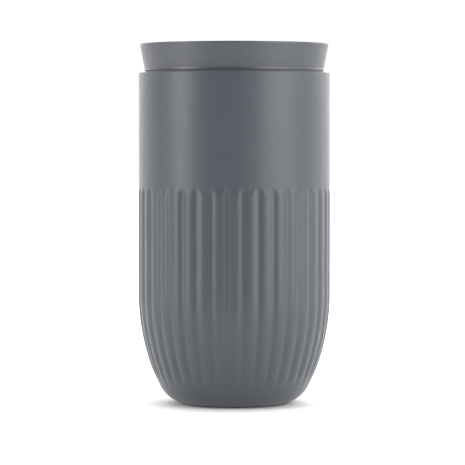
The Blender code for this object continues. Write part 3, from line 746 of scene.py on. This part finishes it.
BUTTON_TOP = button_high.z / MM
BUTTON_LOW = button_low.z / MM
BUTTON_WALL = 1.3
BUTTON_IN_R = BUTTON_R - BUTTON_WALL
DISH_R = BUTTON_R - 1.6
DISH_DEPTH = 0.6
DISH_RISE = 0.45
DISH_LOW = BUTTON_TOP - DISH_DEPTH
BUTTON_UNDER = DISH_LOW - BUTTON_WALL
BOSS_R = 5.2
BOSS_HOLE_R = 3.3
BOSS_LOW = BUTTON_UNDER - 2.2
BUTTON_COLOUR = (0.08, 0.085, 0.095)
button_plastic = moulded("button_plastic", BUTTON_COLOUR, 0.36, 0.03)
button_outline = [(0.0, DISH_LOW)]
for share in np.linspace(0.08, 1, 14):
    button_outline.append((share * DISH_R, DISH_LOW + DISH_RISE * share**2))
button_outline += rounded(
    [
        (BUTTON_R - 0.9, BUTTON_TOP + 0.02, 0.4), (BUTTON_R, BUTTON_TOP - 0.15, 0.7),
        (BUTTON_R, BUTTON_LOW, 0.3), (BUTTON_IN_R, BUTTON_LOW, 0.3),
        (BUTTON_IN_R, BUTTON_UNDER, 0.4), (BOSS_R, BUTTON_UNDER, 0.2),
        (BOSS_R, BOSS_LOW, 0.2), (BOSS_HOLE_R, BOSS_LOW, 0.2), (BOSS_HOLE_R, BUTTON_UNDER, 0.2),
    ]
)
button_outline.append((0.0, BUTTON_UNDER))
button_mesh = turned_mesh("push_button", button_outline, 192)
close_up(button_mesh)
place("push_button", button_mesh, button_plastic, "button_cap", "button")


# Push rod and its seal: a smooth white rod from the button to the valve, and the silicone
# ring in the housing's floor that it slides through.

repaint("push_rod", latch_plastic)
rod_low, rod_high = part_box("rod_seal")
ROD_SEAL_R = rod_high.x / MM + 0.2
ROD_SEAL_TOP = rod_high.z / MM
ROD_SEAL_LOW = rod_low.z / MM
rod_seal_outline = rounded(
    [
        (ROD_HOLE_R, ROD_SEAL_TOP, 0.3), (ROD_SEAL_R, ROD_SEAL_TOP, 0.3),
        (ROD_SEAL_R, ROD_SEAL_LOW, 0.4), (ROD_HOLE_R - 0.25, ROD_SEAL_LOW, 0.5),
    ]
)
rod_seal_mesh = turned_mesh("rod_wiper", rod_seal_outline, 96)
close_up(rod_seal_mesh)
place("rod_wiper", rod_seal_mesh, gasket_silicone, "rod_seal", "lid")


# Valve: a white disc that closes the lid from below, with a dark silicone ring on it.  It
# is stiffened by a raised rim and held on the rod by one steel screw.

valve_low, valve_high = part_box("valve_disc")
seal_low, seal_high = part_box("valve_seal")
VALVE_OUT_R = valve_high.x / MM
VALVE_BOTTOM = valve_low.z / MM
VALVE_TOP = VALVE_BOTTOM + 1.8
VALVE_DISH = VALVE_BOTTOM + 0.4
HUB_R = 6.0
HUB_TOP = valve_high.z / MM
RING_R = VALVE_R - 0.4
RING_IN_R = RING_R - 1.5
SCREW_HOLE_R = 1.5
SCREW_HOLE_TOP = VALVE_BOTTOM + 0.6
ROD_SOCKET_R = 3.3
valve_outline = rounded(
    [
        (RING_IN_R, HUB_TOP, 0.3), (RING_R, HUB_TOP, 0.3), (RING_R, VALVE_TOP, 0.2),
        (VALVE_OUT_R, VALVE_TOP, 0.4), (VALVE_OUT_R, VALVE_BOTTOM, 0.7),
        (VALVE_OUT_R - 3.0, VALVE_BOTTOM, 0.3), (VALVE_OUT_R - 3.4, VALVE_DISH, 0.3),
        (8.4, VALVE_DISH, 0.3), (8.0, VALVE_BOTTOM, 0.3), (SCREW_HOLE_R, VALVE_BOTTOM, 0.2),
        (SCREW_HOLE_R, SCREW_HOLE_TOP, 0.1), (ROD_SOCKET_R, SCREW_HOLE_TOP, 0.1),
        (ROD_SOCKET_R, HUB_TOP, 0.3), (HUB_R, HUB_TOP, 0.4), (HUB_R, VALVE_TOP, 0.6),
        (RING_IN_R, VALVE_TOP, 0.6),
    ]
)
valve_mesh = turned_mesh("valve_plate", valve_outline, 240)
close_up(valve_mesh)
place("valve_plate", valve_mesh, white_plastic, "valve_disc", "button")
SEAL_IN_R = RING_R + 0.1
SEAL_OUT_R = VALVE_OUT_R - 0.1
SEAL_TOP = seal_high.z / MM
SEAL_LOW = seal_low.z / MM
seal_corners = [
    (SEAL_IN_R, SEAL_TOP, 0.3), (RING_R + 1.5, SEAL_TOP + 0.15, 0.4),
    (SEAL_OUT_R, SEAL_TOP - 0.2, 0.4), (SEAL_OUT_R, SEAL_LOW, 0.2),
    (SEAL_IN_R, SEAL_LOW - 0.2, 0.1),
]
seal_mesh = turned_mesh("valve_ring", rounded(seal_corners), 240)
close_up(seal_mesh)
place("valve_ring", seal_mesh, gasket_silicone, "valve_seal", "button")

screw_low, screw_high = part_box("retaining_screw")
SCREW_HEAD_R = screw_high.x / MM
SCREW_HEAD_LOW = screw_low.z / MM
SCREW_HEAD_TOP = SCREW_HEAD_LOW + 1.5
SCREW_TIP = screw_high.z / MM
SHANK_R = 1.2
SCREW_PITCH = 0.8
SCREW_THREAD_DEPTH = 0.28
SLOT_WIDTH = 0.8
SLOT_REACH = 1.9
SLOT_DEPTH = 0.9
SLOT_EDGE = 0.05
screw_rows = [(0.0, SCREW_TIP), (0.5, SCREW_TIP)]
screw_rows += rows_between(SHANK_R, SCREW_TIP - 0.5, SCREW_HEAD_TOP + 0.4, 90)
screw_rows += rounded(
    [
        (SHANK_R, SCREW_HEAD_TOP, 0.05), (SCREW_HEAD_R, SCREW_HEAD_TOP, 0.2),
        (SCREW_HEAD_R, SCREW_HEAD_LOW + 0.5, 0.5), (2.4, SCREW_HEAD_LOW, 0.8),
    ]
)
screw_rows.append((0.0, SCREW_HEAD_LOW))


def screw_thread(turn, radius, height):
    """Cuts a V thread into the screw's shank."""
    on_shank = np.abs(radius - SHANK_R) < ON_WALL
    wave = np.abs(((height / SCREW_PITCH - turn / TAU) % 1.0) - 0.5) * 2
    return radius - SCREW_THREAD_DEPTH * wave * on_shank, height


screw_mesh = turned_mesh("valve_screw", screw_rows, 64, screw_thread)
close_up(screw_mesh)
cross = bmesh.new()
for turn in (0, TAU / 4):
    low = (-SLOT_REACH, -SLOT_WIDTH / 2, SCREW_HEAD_LOW - 1)
    high = (SLOT_REACH, SLOT_WIDTH / 2, SCREW_HEAD_LOW + SLOT_DEPTH)
    box_between(cross, low, high, turn, SLOT_EDGE)
cross_mesh = bpy.data.meshes.new("cross_slot")
cross.to_mesh(cross_mesh)
cross.free()
close_up(cross_mesh)
screw_cut = combined("valve_screw", screw_mesh, cross_mesh, "DIFFERENCE")
close_up(screw_cut, 35)
place("valve_screw", screw_cut, spring_steel, "retaining_screw", "button")


# Floor: a plain pale studio table.  Its surface glows with painted light that grows away from
# the cup, so it runs into the white surround and stays darker near the cup.  Some of the
# painted glow falls back on the cup's base as light.

FLOOR_R = 4.0
FLOOR_DROP = 0.05 * MM
FLOOR_SHADE = (0.7, 0.7, 0.7)
FLOOR_DARK = (0.695, 0.695, 0.695)
FLOOR_LIGHT = (0.705, 0.705, 0.705)
FLOOR_GLOSS = 0.1
GLOW_REACH = 0.4
GLOW_FAR = 1.2
GLOW_ON_CUP = 0.35
floor_material, floor_shader, floor_where = surface("pale_table", FLOOR_SHADE, 0.7)
floor_links = floor_material.node_tree.links
floor_tone = noise(floor_material, floor_where, 6.0)
floor_colour = tint(floor_material, floor_tone, FLOOR_DARK, FLOOR_LIGHT)
floor_links.new(floor_colour, floor_shader.inputs["Base Color"])
floor_shader.inputs["Specular IOR Level"].default_value = FLOOR_GLOSS
floor_distance = floor_material.node_tree.nodes.new("ShaderNodeVectorMath")
floor_distance.operation = "LENGTH"
floor_links.new(floor_where, floor_distance.inputs[0])
# Painted light: the floor's glow is nil at the cup and rises to GLOW_FAR by GLOW_REACH metres
# out.
floor_glow = floor_material.node_tree.nodes.new("ShaderNodeMapRange")
floor_glow.interpolation_type = "SMOOTHSTEP"
floor_glow.inputs["From Max"].default_value = GLOW_REACH
floor_glow.inputs["To Max"].default_value = GLOW_FAR
floor_links.new(floor_distance.outputs["Value"], floor_glow.inputs["Value"])
floor_shader.inputs["Emission Color"].default_value = (1, 1, 1, 1)
# The camera sees the whole painted glow, while light bounced onto the cup takes GLOW_ON_CUP of
# it.
floor_seen = floor_material.node_tree.nodes.new("ShaderNodeLightPath")
floor_power = floor_material.node_tree.nodes.new("ShaderNodeMix")
floor_power.inputs["A"].default_value = GLOW_ON_CUP
floor_links.new(floor_seen.outputs["Is Camera Ray"], floor_power.inputs["Factor"])
floor_links.new(floor_glow.outputs["Result"], floor_power.inputs["B"])
floor_links.new(floor_power.outputs["Result"], floor_shader.inputs["Emission Strength"])
floor_form = bmesh.new()
bmesh.ops.create_circle(floor_form, cap_ends=True, segments=96, radius=FLOOR_R)
floor_mesh = bpy.data.meshes.new("table")
floor_form.to_mesh(floor_mesh)
floor_form.free()
floor_mesh.materials.append(floor_material)
floor = bpy.data.objects.new("table", floor_mesh)
bpy.context.scene.collection.objects.link(floor)
floor.location.z = -FLOOR_DROP


# Light: a soft white surround that is dark towards the front, two tall soft boxes at the
# sides and one overhead.

CUP_MIDDLE = (0, 0, 0.08)
WALL_FRONT = (-0.28, -0.96, 0.0)
WALL_LIGHT = ((0.0, 3.0), (0.18, 2.7), (0.35, 1.85), (0.6, 0.76), (0.8, 0.3), (1.0, 0.05))
SEEN_WHITE = (1.05, 1.05, 1.05, 1)


def soft_box(name, where, size, power):
    """An area light aimed at the middle of the cup."""
    data = bpy.data.lights.new(name, "AREA")
    data.shape = "RECTANGLE"
    data.size, data.size_y = size
    data.energy = power
    box = bpy.data.objects.new(name, data)
    bpy.context.scene.collection.objects.link(box)
    box.location = where
    aim = Vector(CUP_MIDDLE) - Vector(where)
    box.rotation_mode = "QUATERNION"
    box.rotation_quaternion = aim.to_track_quat("-Z", "Y")


soft_box("left_box", (-0.99, -0.46, 0.35), (0.38, 1.1), 11.0)
soft_box("right_box", (0.9, -0.66, 0.35), (0.9, 1.1), 14.5)
soft_box("top_box", (0.0, 0.1, 1.5), (1.6, 1.6), 19.0)

world = bpy.data.worlds.new("studio")
bpy.context.scene.world = world
world.use_nodes = True
tree = world.node_tree
backdrop = tree.nodes["Background"]
around = tree.nodes.new("ShaderNodeTexCoord")
facing = tree.nodes.new("ShaderNodeVectorMath")
facing.operation = "DOT_PRODUCT"
facing.inputs[1].default_value = WALL_FRONT
tree.links.new(around.outputs["Generated"], facing.inputs[0])
tones = tree.nodes.new("ShaderNodeValToRGB")
tones.color_ramp.interpolation = "EASE"
stops = tones.color_ramp.elements
stops.remove(stops[1])
for position, light in WALL_LIGHT:
    stop = stops.new(position) if position else stops[0]
    stop.color = (light, light, light, 1)
spread = tree.nodes.new("ShaderNodeMapRange")
spread.inputs["From Min"].default_value = -1.0
tree.links.new(facing.outputs["Value"], spread.inputs["Value"])
tree.links.new(spread.outputs["Result"], tones.inputs["Fac"])
seen = tree.nodes.new("ShaderNodeLightPath")
pick = tree.nodes.new("ShaderNodeMix")
pick.data_type = "RGBA"
tree.links.new(seen.outputs["Is Camera Ray"], pick.inputs["Factor"])
tree.links.new(tones.outputs["Color"], pick.inputs["A"])
pick.inputs["B"].default_value = SEEN_WHITE
tree.links.new(pick.outputs["Result"], backdrop.inputs["Color"])
bpy.context.scene.view_settings.view_transform = "Standard"


# Camera: a long lens about a metre in front of the cup, a little below the lid's height
# and tilted slightly down.

CAMERA_BACK = 1.0630
CAMERA_SIDE = -0.00074
CAMERA_UP = 0.11695
CAMERA_TILT = 0.042
LENS_LENGTH = 193.83
SENSOR_WIDTH = 36.0
lens = bpy.data.cameras.new("camera")
lens.lens = LENS_LENGTH
lens.sensor_width = SENSOR_WIDTH
camera = bpy.data.objects.new("camera", lens)
bpy.context.scene.collection.objects.link(camera)
camera.location = (CAMERA_SIDE, -CAMERA_BACK, CAMERA_UP)
camera.rotation_euler = (math.pi / 2 - CAMERA_TILT, 0, 0)
bpy.context.scene.camera = camera
